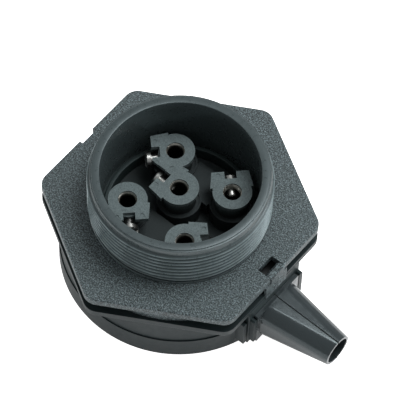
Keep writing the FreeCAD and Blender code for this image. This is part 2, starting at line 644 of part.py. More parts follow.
def make_carrier_cup(document):
    """Insulating cup, held by its flange between the two housings."""
    body = new_body(document, "carrier_cup")
    inner = f"({CUP_RADIUS} - Sizes.cup_wall)"
    floor = "-Sizes.cup_floor_depth"
    soft = "Sizes.edge_radius / 2"
    add_revolution(
        body,
        (
            ("0", floor),
            (inner, floor),
            (inner, f"-Sizes.cup_depth - {soft}"),
            (f"{inner} + {soft}", "-Sizes.cup_depth"),
            (f"{CUP_RADIUS} - {soft}", "-Sizes.cup_depth"),
            (CUP_RADIUS, f"-Sizes.cup_depth - {soft}"),
            (CUP_RADIUS, f"-{JOINT_DEPTH} + Sizes.cup_wall"),
            (CUP_FLANGE_RADIUS, f"-{JOINT_DEPTH} + Sizes.cup_wall"),
            (CUP_FLANGE_RADIUS, f"-{JOINT_DEPTH}"),
            (CUP_RADIUS, f"-{JOINT_DEPTH}"),
            (CUP_RADIUS, f"{floor} - Sizes.cup_wall"),
            ("0", f"{floor} - Sizes.cup_wall"),
        ),
    )
    holes = add_terminal_circles(body, floor, "Sizes.tail_radius + Sizes.seat_fit")
    add_pocket(body, holes, "Sizes.cup_wall")
    return body


def make_terminal_block(document):
    """Insulating block with a tower and a slotted plate for each terminal."""
    body = new_body(document, "terminal_block")
    floor = "-Sizes.cup_floor_depth"
    base = new_sketch(body, "XY_Plane", floor)
    add_circle(base, BLOCK_RADIUS)
    add_pad(body, base, "Sizes.block_base")
    for side in (-1, 1):
        platform = new_sketch(body, "XY_Plane", floor)
        near = f"{side} * Sizes.platform_half_width"
        far = f"{side} * Sizes.platform_reach"
        add_box(platform, ("-Sizes.platform_half_width", near), ("Sizes.platform_half_width", far))
        add_pad(body, platform, "Sizes.cup_floor_depth - Sizes.platform_depth")
    pots = add_terminal_circles(body, floor, "Sizes.pot_radius")
    add_pad(body, pots, "Sizes.cup_floor_depth - Sizes.pot_depth")
    hollow = add_terminal_circles(body, "-Sizes.pot_depth", "Sizes.pot_radius - Sizes.pot_lip")
    add_pocket(body, hollow, "Sizes.pot_lip")
    trim_pots(body)
    columns = add_terminal_circles(body, floor, "Sizes.column_radius")
    add_pad(body, columns, f"Sizes.cup_floor_depth + {PLATE_UNDERSIDE}")
    plates = add_terminal_circles(body, PLATE_UNDERSIDE, "Sizes.ring_radius")
    add_pad(body, plates, "Sizes.plate_height")
    for terminal in TERMINALS:
        add_tab(body, terminal)
    cut_driver_corridor(body)
    bores = add_terminal_circles(body, PLATE_UNDERSIDE, f"{BARREL_RADIUS} + Sizes.running_fit")
    add_pocket(body, bores, f"Sizes.cup_floor_depth + {PLATE_UNDERSIDE}")
    holes = add_terminal_circles(body, "Sizes.plate_top", f"{NECK_RADIUS} + Sizes.running_fit")
    add_pocket(body, holes, "Sizes.plate_height")
    for terminal in TERMINALS:
        cut_screw_hole(body, terminal)
    return body


def trim_pots(body):
    """Cut the towers' feet back to the block's own circle."""
    ring = new_sketch(body, "XY_Plane", "-Sizes.pot_depth")
    add_circle(ring, BLOCK_RADIUS)
    add_circle(ring, f"{BLOCK_RADIUS} + Sizes.pot_radius")
    add_pocket(body, ring, "Sizes.cup_floor_depth - Sizes.pot_depth")


def add_tab(body, terminal):
    """Slotted tab of a terminal's plate, with a round mark on each prong."""
    across, up = terminal_place(terminal)
    tab = new_sketch(body, "XY_Plane", PLATE_UNDERSIDE, across, up, terminal.facing)
    add_outline(
        tab,
        (
            ("Sizes.tab_shoulder", "-Sizes.tab_root_half"),
            ("Sizes.tab_reach", "-Sizes.tab_end_half"),
            ("Sizes.tab_reach", "-Sizes.slot_half"),
            ("Sizes.slot_start", "-Sizes.slot_half"),
            ("Sizes.slot_start", "Sizes.slot_half"),
            ("Sizes.tab_reach", "Sizes.slot_half"),
            ("Sizes.tab_reach", "Sizes.tab_end_half"),
            ("Sizes.tab_shoulder", "Sizes.tab_root_half"),
        ),
    )
    add_pad(body, tab, "Sizes.plate_height")
    slot = new_sketch(body, "XY_Plane", "Sizes.plate_top", across, up, terminal.facing)
    add_box(slot, ("Sizes.slot_start", "-Sizes.slot_half"), ("Sizes.tab_reach", "Sizes.slot_half"))
    add_pocket(body, slot, "Sizes.plate_height")
    marks = new_sketch(body, "XY_Plane", "Sizes.plate_top", across, up, terminal.facing)
    for side in (-1, 1):
        middle = f"{side} * (Sizes.slot_half + Sizes.tab_end_half) / 2"
        add_circle(marks, "Sizes.dimple_radius", "(Sizes.slot_start + Sizes.tab_reach) / 2", middle)
    add_pocket(body, marks, "Sizes.dimple_depth")


def cut_driver_corridor(body):
    """Cut the second plate's prong back, so that a driver reaches the middle screw."""
    corridor = new_sketch(body, "XY_Plane", "Sizes.plate_top")
    start = "-Sizes.centre_offset * sin(45) - Sizes.tab_reach"
    low = ("-Sizes.contact_circle", "-Sizes.slot_half")
    add_box(corridor, low, (start, "Sizes.driver_edge"))
    add_pocket(body, corridor, "Sizes.plate_height")


def cut_screw_hole(body, terminal):
    """Cross hole through a tower's column for its clamp screw."""
    across, up = terminal_place(terminal)
    hole = new_sketch(body, "YZ_Plane", across, up, "Sizes.screw_level")
    turned = FreeCAD.Rotation(Vector(0, 1, 0), terminal.facing)
    hole.AttachmentOffset = FreeCAD.Placement(hole.AttachmentOffset.Base, turned)
    add_circle(hole, "Sizes.shank_radius + Sizes.loose_fit")
    add_pocket(body, hole, f"Sizes.column_radius + {OVERSHOOT}", along=True)


def stand_on_terminal(body, terminal, height="0"):
    """Place a body at a terminal, turned so that its X axis runs along the screw."""
    across, up = terminal_place(terminal)
    body.Placement = FreeCAD.Placement(Vector(), FreeCAD.Rotation(Vector(0, 0, 1), terminal.facing))
    body.setExpression("Placement.Base.x", across)
    body.setExpression("Placement.Base.y", up)
    body.setExpression("Placement.Base.z", height)


def make_contact_sleeve(document, terminal):
    """Turned sleeve with the wire's bore above, a solder tail below and the screw's cross hole."""
    body = new_body(document, f"contact_sleeve_{terminal.number}")
    top = "Sizes.plate_top - Sizes.neck_recess"
    shoulder = f"{PLATE_UNDERSIDE} - Sizes.running_fit"
    barrel_foot = "-Sizes.cup_floor_depth + Sizes.running_fit"
    tail_foot = "-Sizes.cup_floor_depth - Sizes.tail_length"
    add_revolution(
        body,
        (
            ("0", "-Sizes.bore_floor_depth"),
            ("Sizes.sleeve_bore", "-Sizes.bore_floor_depth"),
            ("Sizes.sleeve_bore", f"{top} - Sizes.neck_wall"),
            (f"{NECK_RADIUS} - Sizes.running_fit", top),
            (NECK_RADIUS, top),
            (NECK_RADIUS, shoulder),
            (BARREL_RADIUS, shoulder),
            (BARREL_RADIUS, barrel_foot),
            ("Sizes.tail_radius", barrel_foot),
            ("Sizes.tail_radius", tail_foot),
            ("0", tail_foot),
        ),
    )
    cup = new_sketch(body, "XY_Plane", tail_foot)
    add_circle(cup, "Sizes.tail_cup_radius")
    add_pocket(body, cup, "Sizes.tail_length * 3 / 4", along=True)
    hole = new_sketch(body, "YZ_Plane", "0", "0", "Sizes.screw_level")
    add_circle(hole, "Sizes.shank_radius + Sizes.running_fit")
    add_pocket(body, hole, f"{BARREL_RADIUS} + {OVERSHOOT}", along=True)
    stand_on_terminal(body, terminal)
    return body


def make_clamp_screw(document, terminal):
    """Cheese-head screw along the body's X axis, with a straight driver slot."""
    body = new_body(document, f"clamp_screw_{terminal.number}")
    head = terminal.head
    end = f"({head} + Sizes.head_length)"
    tip = f"({head} - Sizes.shank_length)"
    soft = "Sizes.edge_radius"
    add_revolution(
        body,
        (
            (tip, "0"),
            (tip, "Sizes.shank_radius - Sizes.edge_radius / 2"),
            (f"{tip} + {soft} / 2", "Sizes.shank_radius"),
            (head, "Sizes.shank_radius"),
            (head, "Sizes.head_radius"),
            (f"{end} - {soft}", "Sizes.head_radius"),
            (end, f"Sizes.head_radius - {soft}"),
            (end, "0"),
        ),
        axis="H_Axis",
    )
    slot = new_sketch(body, "YZ_Plane", end)
    half = "Sizes.driver_slot_width / 2"
    reach = f"(Sizes.head_radius + {OVERSHOOT})"
    add_box(slot, (f"-{reach}", f"-{half}"), (reach, half))
    add_pocket(body, slot, "Sizes.driver_slot_depth")
    stand_on_terminal(body, terminal, "Sizes.screw_level")
    return body


def make_wire_guard(document, terminal):
    """Pressure disc at the screw's tip."""
    body = new_body(document, f"wire_guard_{terminal.number}")
    disc = new_sketch(body, "YZ_Plane", f"{terminal.head} - Sizes.shank_length")
    add_circle(disc, "Sizes.guard_radius")
    add_pad(body, disc, "Sizes.guard_thickness", down=True)
    stand_on_terminal(body, terminal, "Sizes.screw_level")
    return body


def add_spout(body, kind, inset_root="0", inset_tip="0", tip_back="0"):
    """Loft from the spout's rounded-square root to its round tip, inset by the wall where hollow."""
    root = new_sketch(body, "YZ_Plane", f"{RAIL_FACE} + Sizes.collar_plate_thickness / 2")
    add_spout_root(root, inset_root)
    tip = new_sketch(body, "YZ_Plane", f"{TIP_REACH} - {tip_back}")
    half = f"(Sizes.tip_radius - {inset_tip})"
    corner = f"({half} - Sizes.running_fit)"
    add_rounded_box(tip, half, half, corner, TIP_LEVEL)
    loft = body.newObject(kind, "Loft")
    loft.Profile = root
    loft.Sections = [tip]
    loft.Ruled = True
    return loft


def add_spout_root(sketch, inset):
    """Rounded-square section of the spout's root, inset by an expression."""
    add_rounded_box(
        sketch,
        f"(Sizes.root_width / 2 - {inset})",
        f"(Sizes.root_height / 2 - {inset})",
        f"(Sizes.root_corner - {inset})",
        "-Sizes.nozzle_depth",
    )


def make_nozzle_half(document, label, side):
    """One half-shell of the cable nozzle: side is 1 for +Y and -1 for -Y."""
    body = new_body(document, label)
    back = f"({WEB_BACK} - Sizes.collar_plate_thickness)"
    inner = f"{back} - Sizes.running_fit"
    add_nozzle_plate(body, inner, "Sizes.inner_plate_half", "Sizes.inner_plate_foot_depth")
    neck = new_sketch(body, "YZ_Plane", f"{WEB_BACK} - Sizes.collar_plate_thickness / 2")
    low = ("-Sizes.neck_half", "-Sizes.neck_foot_depth")
    add_box(neck, low, ("Sizes.neck_half", "-Sizes.neck_top_depth"))
    add_pad(body, neck, "2 * Sizes.collar_plate_thickness")
    face = f"{RAIL_FACE} + Sizes.running_fit"
    add_nozzle_plate(body, face, "Sizes.outer_plate_half", "Sizes.outer_plate_foot_depth")
    checked(add_spout(body, "PartDesign::AdditiveLoft"))
    bore = "PartDesign::SubtractiveLoft"
    cut_checked(body, add_spout(body, bore, "Sizes.root_wall", "Sizes.tip_wall", "Sizes.tip_land"))
    land = new_sketch(body, "YZ_Plane", f"{TIP_REACH} - Sizes.tip_land")
    add_circle(land, "Sizes.tip_radius - Sizes.tip_wall", "0", TIP_LEVEL)
    add_pocket(body, land, f"Sizes.tip_land + {OVERSHOOT}", along=True)
    mouth = new_sketch(body, "YZ_Plane", f"{back} - {OVERSHOOT}")
    add_spout_root(mouth, "Sizes.root_wall")
    add_pocket(body, mouth, f"2.5 * Sizes.collar_plate_thickness + {OVERSHOOT}", along=True)
    cut_other_half(body, side)
    return body


def cut_other_half(body, side):
    """Cut a nozzle back to one half-shell, half a running fit from the split plane."""
    away = new_sketch(body, "XY_Plane")
    outside = f"{-side} * 2 * Sizes.outer_plate_half"
    split = f"{side} * Sizes.running_fit / 2"
    add_box(away, ("0", outside), (f"2 * {TIP_REACH}", split))
    add_pocket(body, away, "2 * Sizes.base_depth")


def add_nozzle_plate(body, back, half, foot_depth):
    """One of the nozzle's two square plates."""
    plate = new_sketch(body, "YZ_Plane", back)
    height = f"({foot_depth} - Sizes.outer_plate_top_depth)"
    middle = f"-({foot_depth} + Sizes.outer_plate_top_depth) / 2"
    add_rounded_box(plate, half, f"({height} / 2)", "Sizes.edge_radius", middle)
    return add_pad(body, plate, "Sizes.collar_plate_thickness")


def make_parts(document, sheet):
    """All sub-parts, in the order that they go together."""
    bodies = [
        make_upper_housing(document, sheet),
        make_lower_housing(document, sheet),
        make_release_latch(document),
        make_bottom_cover(document),
        make_cover_seal(document),
        make_housing_seal(document),
        make_carrier_cup(document),
        make_terminal_block(document),
        make_nozzle_half(document, "cable_nozzle_left", -1),
        make_nozzle_half(document, "cable_nozzle_right", 1),
    ]
    for terminal in TERMINALS:
        bodies.append(make_contact_sleeve(document, terminal))
        bodies.append(make_clamp_screw(document, terminal))
        bodies.append(make_wire_guard(document, terminal))
    return bodies


def check_document(document, bodies):
    """Refuse a document in which any object failed or any sub-part isn't one valid solid."""
    for item in document.Objects:
        if "Invalid" in item.State or "Error" in item.State:
            raise RuntimeError(f"{item.Label} is {item.State}")
    for body in bodies:
        shape = body.Shape
        if shape.isNull() or not shape.isValid() or len(shape.Solids) != 1:
            raise RuntimeError(f"{body.Label} isn't one valid solid")


def main():
    document = FreeCAD.newDocument("TrailerWiringConnector")
    sheet = make_sheet(document)
    bodies = make_parts(document, sheet)
    document.recompute()
    check_document(document, bodies)
    os.makedirs("parts", exist_ok=True)
    for body in bodies:
        body.Shape.exportStep(os.path.join("parts", f"{body.Label}.step"))
        print(f"{body.Label}: {body.Shape.Volume:.1f} mm3")


main()
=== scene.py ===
"""Trailer wiring connector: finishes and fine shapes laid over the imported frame.

All sizes are in metres. The origin is on the collar's axis, at the top of the hexagonal flange; +Z points
out of the collar's mouth and +X along the cable nozzle.
"""

import math

import bmesh
import bpy
from bpy.props import FloatProperty, FloatVectorProperty, IntProperty, PointerProperty
from mathutils import Matrix, Vector


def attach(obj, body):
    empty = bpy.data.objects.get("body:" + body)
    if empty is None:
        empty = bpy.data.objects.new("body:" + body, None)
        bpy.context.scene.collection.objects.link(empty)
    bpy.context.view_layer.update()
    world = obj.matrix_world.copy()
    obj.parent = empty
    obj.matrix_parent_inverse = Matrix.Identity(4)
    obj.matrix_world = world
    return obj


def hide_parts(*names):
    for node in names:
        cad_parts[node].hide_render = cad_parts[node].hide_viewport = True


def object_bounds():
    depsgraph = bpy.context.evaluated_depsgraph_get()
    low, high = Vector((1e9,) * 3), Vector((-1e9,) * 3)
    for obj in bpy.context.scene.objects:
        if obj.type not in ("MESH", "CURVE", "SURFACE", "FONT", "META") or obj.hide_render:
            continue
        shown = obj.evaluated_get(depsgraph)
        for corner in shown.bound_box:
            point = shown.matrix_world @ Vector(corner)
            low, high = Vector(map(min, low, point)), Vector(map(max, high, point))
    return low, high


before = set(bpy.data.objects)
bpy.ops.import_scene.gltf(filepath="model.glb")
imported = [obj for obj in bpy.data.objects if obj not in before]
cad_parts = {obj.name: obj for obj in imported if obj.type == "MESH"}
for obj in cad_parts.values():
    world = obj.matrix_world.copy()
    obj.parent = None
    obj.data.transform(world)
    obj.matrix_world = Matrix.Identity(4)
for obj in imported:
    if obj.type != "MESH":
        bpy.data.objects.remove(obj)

bl_info = {
    "name": "Trailer Wiring Connector",
    "version": (1, 0, 0),
    "blender": (4, 5, 0),
    "location": "View3D > Sidebar > Connector",
    "description": "Threaded hexagonal wiring connector with five clamp terminals and a cable nozzle",
    "category": "Object",
}

CAD_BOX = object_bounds()
MM = 0.001
FINEST_WELD = 2e-7
TERMINALS = (1, 2, 3, 4, 5)
BLACK = (0.001, 0.001, 0.001, 1.0)

CREST_RADIUS = 29.5 * MM
CREST_BLEND = 0.4 * MM
CREST_TOP = 16.6 * MM
GROOVE_FADE = 0.6 * MM
GROOVE_LIMIT = 0.9 * MM
SEAM_WIDTH = 0.3 * MM
FLOOR_DROP = 0.2 * MM
FLOOR_GLOW = 0.3
FLOOR_GLOW_SEEN = 0.7
PLATE_RELIEF = 0.006 * MM
LOWER_THAN_ALL = -1.0

# Each light's name, its place along the view's level and forward directions and up, and its size
SOFTBOXES = (
    ("key", 0.28, 0.12, 0.80, (0.5, 0.4)),
    ("left", -0.55, 0.10, 0.03, (0.5, 0.10)),
    ("right", 0.80, 0.0, 0.30, (0.35, 0.6)),
    ("back", 0.0, 0.75, 0.30, (0.8, 0.35)),
)


# Sizes and colours that a user would change


def length(name, description, millimetres):
    """Length property in metres, given in millimetres."""
    return FloatProperty(name=name, description=description, default=millimetres * MM,
                         min=0.0, precision=5, unit="LENGTH")


def colour(name, description, default):
    """Colour property."""
    return FloatVectorProperty(name=name, description=description, default=default,
                               size=3, min=0.0, max=1.0, subtype="COLOR")


def factor(name, description, default, top=1.0):
    """Plain number from 0 to top."""
    return FloatProperty(name=name, description=description, default=default,
                         min=0.0, max=top, subtype="FACTOR")


class CollarSizes(bpy.types.PropertyGroup):
    """Threaded collar."""

    bore_radius: length("Bore radius", "Inside of the collar", 25.9)
    root_radius: length("Root radius", "Thread's root", 28.9)
    foot_radius: length("Foot radius", "Plain foot below the thread", 29.65)
    foot_height: length("Foot height", "Plain foot below the thread", 0.9)
    height: length("Height", "Collar above the flange", 19.7)
    drop: length("Drop", "Collar's inner rib below the flange's top", 6.0)
    rim_step: length("Rim step", "Step round the rim", 0.35)
    pitch: length("Pitch", "Thread's pitch", 2.0)
    depth: length("Depth", "Root to crest", 1.1)
    thread_start: length("Thread start", "Foot of the first ridge above the flange", 1.7)
    thread_end: length("Thread end", "Top of the last ridge above the flange", 17.1)
    ridge_foot: length("Ridge foot", "Ridge's width at its root", 1.6)
    ridge_crest: length("Ridge crest", "Ridge's width at its crest", 0.34)
    steps_round: IntProperty(name="Steps round", description="Facets round the collar", default=256, min=32)
    steps_per_pitch: IntProperty(name="Steps per pitch", description="Rows in one pitch of thread",
                                 default=16, min=4)


class EdgeSizes(bpy.types.PropertyGroup):
    """Rounding of the moulded edges."""

    housing: length("Housing", "Edges of the housings", 0.22)
    insulator: length("Insulator", "Edges of the terminal block", 0.14)
    small: length("Small parts", "Edges of the latch and the nozzle", 0.18)
    metal: length("Metal", "Edges of the sleeves", 0.07)
    screw: length("Screws", "Edges of the clamp screws", 0.06)


class Finishes(bpy.types.PropertyGroup):
    """Colours and roughness of the materials."""

    housing: colour("Housing", "Grained charcoal plastic", (0.036, 0.047, 0.050))
    thread: colour("Thread", "Satin charcoal plastic", (0.030, 0.040, 0.042))
    body: colour("Body", "Smooth charcoal plastic", (0.010, 0.015, 0.016))
    insulator: colour("Insulator", "Terminal block", (0.085, 0.108, 0.111))
    cup: colour("Cup", "Carrier cup", (0.012, 0.019, 0.019))
    nozzle: colour("Nozzle", "Semi-gloss charcoal plastic", (0.018, 0.023, 0.025))
    seal: colour("Seal", "Black rubber", (0.018, 0.018, 0.018))
    sleeve: colour("Sleeve", "Nickel-plated brass", (0.36, 0.36, 0.33))
    screw: colour("Screw", "Bright nickel plate", (0.34, 0.35, 0.34))
    cast: colour("Cast", "Tint of the plastics' shine", (0.82, 0.96, 1.0))
    floor: colour("Floor", "Studio floor", (0.93, 0.93, 0.93))
    grain: factor("Grain", "Depth of the spark-eroded grain", 0.55)
    # Painted highlight: how much the edges are lightened.
    edge_highlight: factor("Highlight", "Lightening of exposed edges", 0.35)


class Studio(bpy.types.PropertyGroup):
    """Camera and lights."""

    azimuth: FloatProperty(name="Azimuth", description="Camera's bearing", default=math.radians(37.654),
                           subtype="ANGLE")
    elevation: FloatProperty(name="Elevation", description="Camera's height above the horizon",
                             default=math.radians(59.829), subtype="ANGLE")
    roll: FloatProperty(name="Roll", description="Camera's tilt",
                        default=math.radians(2.395), subtype="ANGLE")
    distance: length("Distance", "Camera from the point that it looks at", 979.6)
    aim_right: length("Aim right", "Point looked at, right of the origin in the view", 6.498)
    aim_up: length("Aim up", "Point looked at, above the origin in the view", 0.982)
    lens: FloatProperty(name="Lens", description="Focal length in millimetres", default=273.15, min=1.0)
    key: FloatProperty(name="Key", description="Overhead light's power in watts", default=6.0, min=0.0)
    left: FloatProperty(name="Left", description="Low left light's power in watts", default=1.6, min=0.0)
    right: FloatProperty(name="Right", description="Right light's power in watts", default=4.5, min=0.0)
    back: FloatProperty(name="Back", description="Back light's power in watts", default=1.2, min=0.0)
    world: FloatProperty(name="World", description="Strength of the room's light", default=0.5, min=0.0)


# Mesh helpers


def new_mesh(name, shape):
    """Mesh of a bmesh, which is freed."""
    mesh = bpy.data.meshes.new(name)
    shape.to_mesh(mesh)
    shape.free()
    return mesh


def new_object(name, mesh):
    """Object at the origin."""
    item = bpy.data.objects.new(name, mesh)
    bpy.context.scene.collection.objects.link(item)
    return item


def smooth(mesh, degrees=30):
    """Shade smooth, sharp over the angle."""
    mesh.shade_smooth()
    mesh.set_sharp_from_angle(angle=math.radians(degrees))


def welded_copy(node):
    """bmesh of a CAD node with its triangles joined and its flat faces merged."""
    shape = bmesh.new()
    shape.from_mesh(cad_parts[node].data)
    bmesh.ops.remove_doubles(shape, verts=shape.verts, dist=FINEST_WELD)
    bmesh.ops.dissolve_limit(shape, angle_limit=math.radians(0.3), verts=shape.verts, edges=shape.edges,
                             use_dissolve_boundaries=False, delimit=set())
    return shape


def round_edges(item, width, degrees=32, segments=2):
    """Bevel modifier on the sharp edges."""
    bevel = item.modifiers.new("rounding", "BEVEL")
    bevel.width = width
    bevel.segments = segments
    bevel.limit_method = "ANGLE"
    bevel.angle_limit = math.radians(degrees)
    bevel.use_clamp_overlap = True
    bevel.harden_normals = False
    return bevel


def lathe(profile, steps, closed=True):
    """bmesh of a profile of (radius, height) points turned about Z; the profile runs anticlockwise."""
    shape = bmesh.new()
    rings = []
    for number in range(steps):
        bearing = math.tau * number / steps
        across, up = math.cos(bearing), math.sin(bearing)
        rings.append([shape.verts.new((radius * across, radius * up, height)) for radius, height in profile])
    count = len(profile)
    spans = count if closed else count - 1
    for number in range(steps):
        here, following = rings[number], rings[(number + 1) % steps]
        for row in range(spans):
            after = (row + 1) % count
            shape.faces.new((here[row], following[row], following[after], here[after]))
    bmesh.ops.remove_doubles(shape, verts=shape.verts, dist=FINEST_WELD)
    bmesh.ops.recalc_face_normals(shape, faces=shape.faces)
    return shape


def finish_piece(item, body, material, slot, *nodes):
    """Give a piece its material, its body and the CAD nodes that it stands for."""
    item.data.materials.clear()
    item.data.materials.append(material)
    if nodes:
        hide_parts(*nodes)
    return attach(item, body)


def moulded_piece(node, name, rounding, material, slot, body="housing", shape=None):
    """Stand-in for a CAD node with smooth shading and rounded edges."""
    mesh = new_mesh(name, shape or welded_copy(node))
    smooth(mesh)
    item = new_object(name, mesh)
    if rounding:
        round_edges(item, rounding)
    return finish_piece(item, body, material, slot, node)


# Geometry Nodes: one helical ridge on a turned shape


def maths(tree, operation, *values):
    """Math node; each value is a number or a socket. Gives its output."""
    node = tree.nodes.new("ShaderNodeMath")
    node.operation = operation
    for number, value in enumerate(values):
        if hasattr(value, "default_value") or hasattr(value, "links"):
            tree.links.new(value, node.inputs[number])
        else:
            node.inputs[number].default_value = value
    return node.outputs[0]


def split(tree, where):
    """X, Y and Z of a vector."""
    place = tree.nodes.new("ShaderNodeSeparateXYZ")
    tree.links.new(where, place.inputs[0])
    return place.outputs


def from_axis(tree, across, up):
    """Distance from Z."""
    return maths(tree, "SQRT", maths(tree, "ADD", maths(tree, "MULTIPLY", across, across),
                                     maths(tree, "MULTIPLY", up, up)))


def eased(tree, value, low, high):
    """Smooth step of a value from 0 at low to 1 at high; low and high are numbers or sockets."""
    node = tree.nodes.new("ShaderNodeMapRange")
    node.interpolation_type = "SMOOTHSTEP"
    node.clamp = True
    tree.links.new(value, node.inputs["Value"])
    for name, limit in (("From Min", low), ("From Max", high)):
        if hasattr(limit, "links"):
            tree.links.new(limit, node.inputs[name])
        else:
            node.inputs[name].default_value = limit
    return node.outputs["Result"]


THREAD_INPUTS = ("Pitch", "Depth", "Start", "End", "Root Radius", "Ridge Foot", "Ridge Crest")


def thread_tree():
    """Node tree that raises a helical ridge on the outer wall of a shape turned about Z."""
    tree = bpy.data.node_groups.get("helical_thread")
    if tree:
        return tree
    tree = bpy.data.node_groups.new("helical_thread", "GeometryNodeTree")
    tree.is_modifier = True
    face = tree.interface
    face.new_socket("Geometry", in_out="INPUT", socket_type="NodeSocketGeometry")
    for name in THREAD_INPUTS:
        face.new_socket(name, in_out="INPUT", socket_type="NodeSocketFloat")
    face.new_socket("Material", in_out="INPUT", socket_type="NodeSocketMaterial")
    face.new_socket("Geometry", in_out="OUTPUT", socket_type="NodeSocketGeometry")
    given = tree.nodes.new("NodeGroupInput").outputs
    across, up, height = split(tree, tree.nodes.new("GeometryNodeInputPosition").outputs[0])
    radius = from_axis(tree, across, up)
    turn = maths(tree, "DIVIDE", maths(tree, "ARCTAN2", up, across), math.tau)
    rise = maths(tree, "DIVIDE", maths(tree, "SUBTRACT", height, given["Start"]), given["Pitch"])
    phase = maths(tree, "FRACT", maths(tree, "SUBTRACT", rise, turn))
    off_crest = maths(tree, "ABSOLUTE", maths(tree, "SUBTRACT", phase, 0.5))
    aside = maths(tree, "MULTIPLY", off_crest, given["Pitch"])
    foot = maths(tree, "MULTIPLY", given["Ridge Foot"], 0.5)
    crest = maths(tree, "MULTIPLY", given["Ridge Crest"], 0.5)
    flank = tree.nodes.new("ShaderNodeMapRange")
    flank.clamp = True
    tree.links.new(aside, flank.inputs["Value"])
    tree.links.new(crest, flank.inputs["From Min"])
    tree.links.new(foot, flank.inputs["From Max"])
    flank.inputs["To Min"].default_value = 1.0
    flank.inputs["To Max"].default_value = 0.0
    half_pitch = maths(tree, "MULTIPLY", given["Pitch"], 0.5)
    run_in = eased(tree, height, given["Start"], maths(tree, "ADD", given["Start"], half_pitch))
    run_out = eased(tree, maths(tree, "SUBTRACT", given["End"], height), 0.0, half_pitch)
    outside = maths(tree, "GREATER_THAN", radius, maths(tree, "SUBTRACT", given["Root Radius"], 1e-6))
    ridge = maths(tree, "MULTIPLY", maths(tree, "MULTIPLY", flank.outputs["Result"], outside),
                  maths(tree, "MULTIPLY", run_in, run_out))
    grow = maths(tree, "DIVIDE", maths(tree, "MULTIPLY", ridge, given["Depth"]), radius)
    offset = tree.nodes.new("ShaderNodeCombineXYZ")
    tree.links.new(maths(tree, "MULTIPLY", across, grow), offset.inputs[0])
    tree.links.new(maths(tree, "MULTIPLY", up, grow), offset.inputs[1])
    move = tree.nodes.new("GeometryNodeSetPosition")
    tree.links.new(given["Geometry"], move.inputs["Geometry"])
    tree.links.new(offset.outputs[0], move.inputs["Offset"])
    real = tree.nodes.new("GeometryNodeRealizeInstances")
    tree.links.new(move.outputs[0], real.inputs[0])
    paint = tree.nodes.new("GeometryNodeSetMaterial")
    tree.links.new(real.outputs[0], paint.inputs["Geometry"])
    tree.links.new(given["Material"], paint.inputs["Material"])
    result = tree.nodes.new("NodeGroupOutput")
    tree.links.new(paint.outputs[0], result.inputs[0])
    return tree


def threaded(name, mesh, values, material):
    """Plain mesh of a turned mesh with its thread raised on it."""
    tree = thread_tree()
    item = new_object(name, mesh)
    modifier = item.modifiers.new("thread", "NODES")
    modifier.node_group = tree
    given = {s.name: s.identifier for s in tree.interface.items_tree if s.in_out == "INPUT"}
    for title, value in zip(THREAD_INPUTS, values):
        modifier[given[title]] = value
    modifier[given["Material"]] = material
    evaluated = item.evaluated_get(bpy.context.evaluated_depsgraph_get())
    made = bpy.data.meshes.new_from_object(evaluated)
    item.modifiers.clear()
    item.data = made
    return item


# Shader groups


def shader_group(name, inputs, outputs):
    """Empty shader node group with named sockets; gives (tree, input sockets, output node)."""
    tree = bpy.data.node_groups.new(name, "ShaderNodeTree")
    for title, kind, value in inputs:
        socket = tree.interface.new_socket(title, in_out="INPUT", socket_type=kind)
        if value is not None:
            socket.default_value = value
    for title, kind in outputs:
        tree.interface.new_socket(title, in_out="OUTPUT", socket_type=kind)
    return tree, tree.nodes.new("NodeGroupInput").outputs, tree.nodes.new("NodeGroupOutput")


def noise(tree, vector, scale, detail=2.0, roughness=0.5):
    """Noise texture; gives its value."""
    node = tree.nodes.new("ShaderNodeTexNoise")
    node.inputs["Detail"].default_value = detail
    node.inputs["Roughness"].default_value = roughness
    tree.links.new(vector, node.inputs["Vector"])
    if hasattr(scale, "links"):
        tree.links.new(scale, node.inputs["Scale"])
    else:
        node.inputs["Scale"].default_value = scale
    return node.outputs["Fac"]


def mixed(tree, kind, amount, first, second):
    """Mix node on colours; gives its colour."""
    node = tree.nodes.new("ShaderNodeMix")
    node.data_type = "RGBA"
    node.blend_type = kind
    for number, value in ((0, amount), (6, first), (7, second)):
        if hasattr(value, "links"):
            tree.links.new(value, node.inputs[number])
        else:
            node.inputs[number].default_value = value
    return node.outputs[2]


